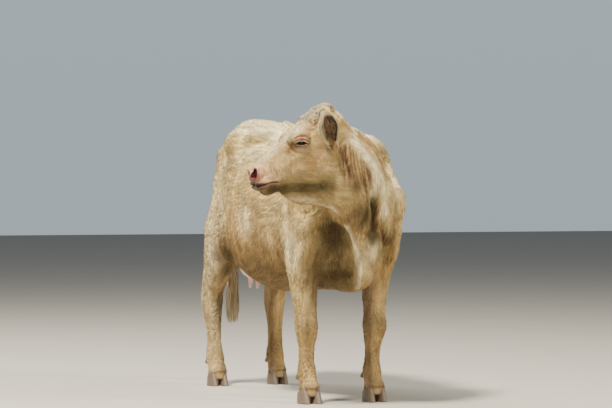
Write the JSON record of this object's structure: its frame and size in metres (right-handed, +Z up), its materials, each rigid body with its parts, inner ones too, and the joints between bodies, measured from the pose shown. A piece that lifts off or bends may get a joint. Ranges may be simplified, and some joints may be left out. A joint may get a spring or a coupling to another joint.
{
  "type": "charolais-type cow",
  "caption": "Life-size still model of a cream, hornless beef cow standing square and looking back over its right side.",
  "frame": {"origin": "middle of the cow's bounding box, on the ground plane its soles stand on", "axes": "+Z up, -Y the way the body faces, +X the cow's left; the body's length runs along Y"},
  "size_m": [0.9608, 2.0418, 1.4348],
  "materials": {
    "coat": "short cream coat",
    "horn": "dull horn of hooves and dewclaws",
    "eye": "wet, dark",
    "switch": "long hair",
    "udder": "thin pink skin"
  },
  "bodies": {
    "root": {"claw_fore_left_inner": "horn", "claw_fore_left_outer": "horn", "claw_fore_right_inner": "horn", "claw_fore_right_outer": "horn", "claw_hind_left_inner": "horn", "claw_hind_left_outer": "horn", "claw_hind_right_inner": "horn", "claw_hind_right_outer": "horn", "dewclaw_fore_left_inner": "horn", "dewclaw_fore_left_outer": "horn", "dewclaw_fore_right_inner": "horn", "dewclaw_fore_right_outer": "horn", "dewclaw_hind_left_inner": "horn", "dewclaw_hind_left_outer": "horn", "dewclaw_hind_right_inner": "horn", "dewclaw_hind_right_outer": "horn", "ear_left": "coat", "ear_right": "coat", "eye_left": "eye", "eye_right": "eye", "forecannon_left": "coat", "forecannon_right": "coat", "foreleg_left": "coat", "foreleg_right": "coat", "head": "coat", "hindcannon_left": "coat", "hindcannon_right": "coat", "hindleg_left": "coat", "hindleg_right": "coat", "neck": "coat", "tail": "coat", "tail_switch": "switch", "torso": "coat", "udder": "udder"}
  },
  "joints": []
}
